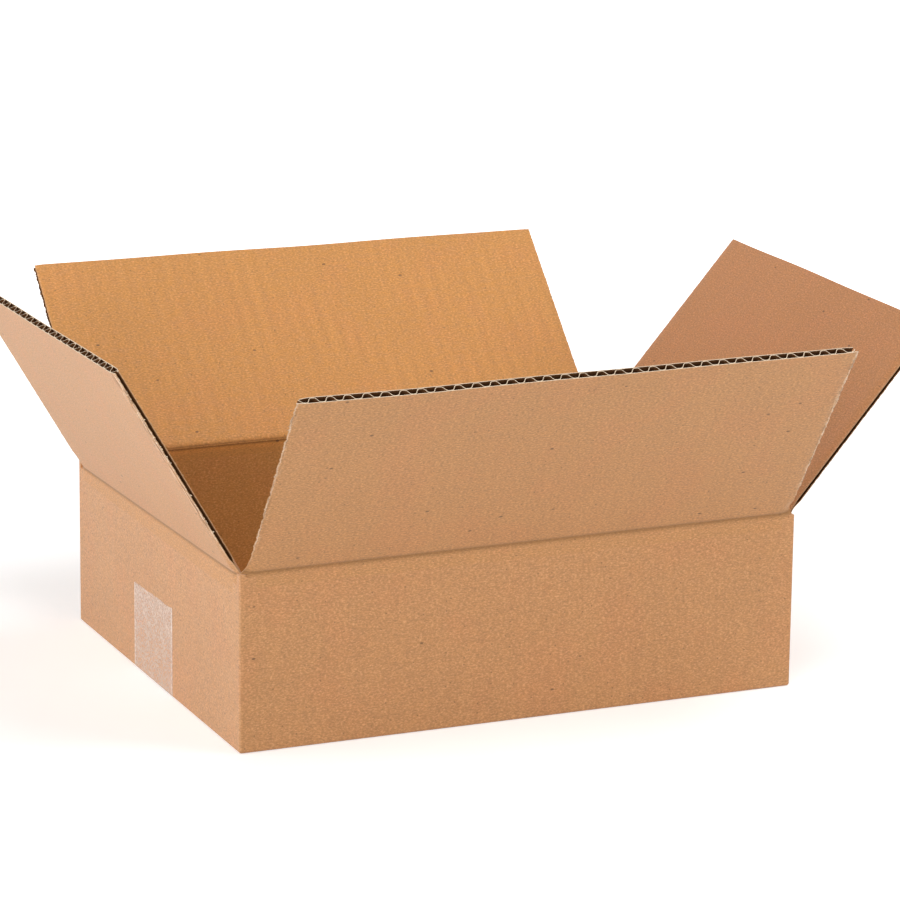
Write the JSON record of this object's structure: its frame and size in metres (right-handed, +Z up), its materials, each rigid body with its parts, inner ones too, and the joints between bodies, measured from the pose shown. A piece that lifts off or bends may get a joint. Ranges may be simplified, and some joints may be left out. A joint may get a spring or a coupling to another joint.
{
  "type": "shallow corrugated shipping box",
  "caption": "Shallow corrugated shipping box, taped underneath, its hinged top flaps leaning open round an empty tray-like inside.",
  "frame": {"origin": "centre of the box's underside, where it rests", "axes": "+Z up out of the open top, X along the long walls with +X to the right seen from the front, the front wall towards -Y"},
  "size_m": [0.3731, 0.3293, 0.1649],
  "materials": {
    "kraft_board": "matte kraft paper",
    "clear_tape": "clear packing tape"
  },
  "bodies": {
    "body": {"box_body": "kraft_board", "bottom_tape": "clear_tape"},
    "front_flap": {"front_flap": "kraft_board"},
    "back_flap": {"back_flap": "kraft_board"},
    "left_flap": {"left_flap": "kraft_board"},
    "right_flap": {"right_flap": "kraft_board"}
  },
  "joints": [
    {"name": "front_flap_fold", "type": "hinge", "parent": "body", "child": "front_flap", "pos_m": [0, -0.09995, 0.0785], "axis": [-1, 0, 0], "range_deg": [-86.3, 123.5]},
    {"name": "back_flap_fold", "type": "hinge", "parent": "body", "child": "back_flap", "pos_m": [0, 0.09995, 0.0785], "axis": [1, 0, 0], "range_deg": [-73.9, 135.9]},
    {"name": "left_flap_fold", "type": "hinge", "parent": "body", "child": "left_flap", "pos_m": [-0.12535, 0, 0.0749], "axis": [0, 1, 0], "range_deg": [-89.6, 120.2]},
    {"name": "right_flap_fold", "type": "hinge", "parent": "body", "child": "right_flap", "pos_m": [0.12535, 0, 0.0749], "axis": [0, -1, 0], "range_deg": [-79, 130.8]}
  ]
}
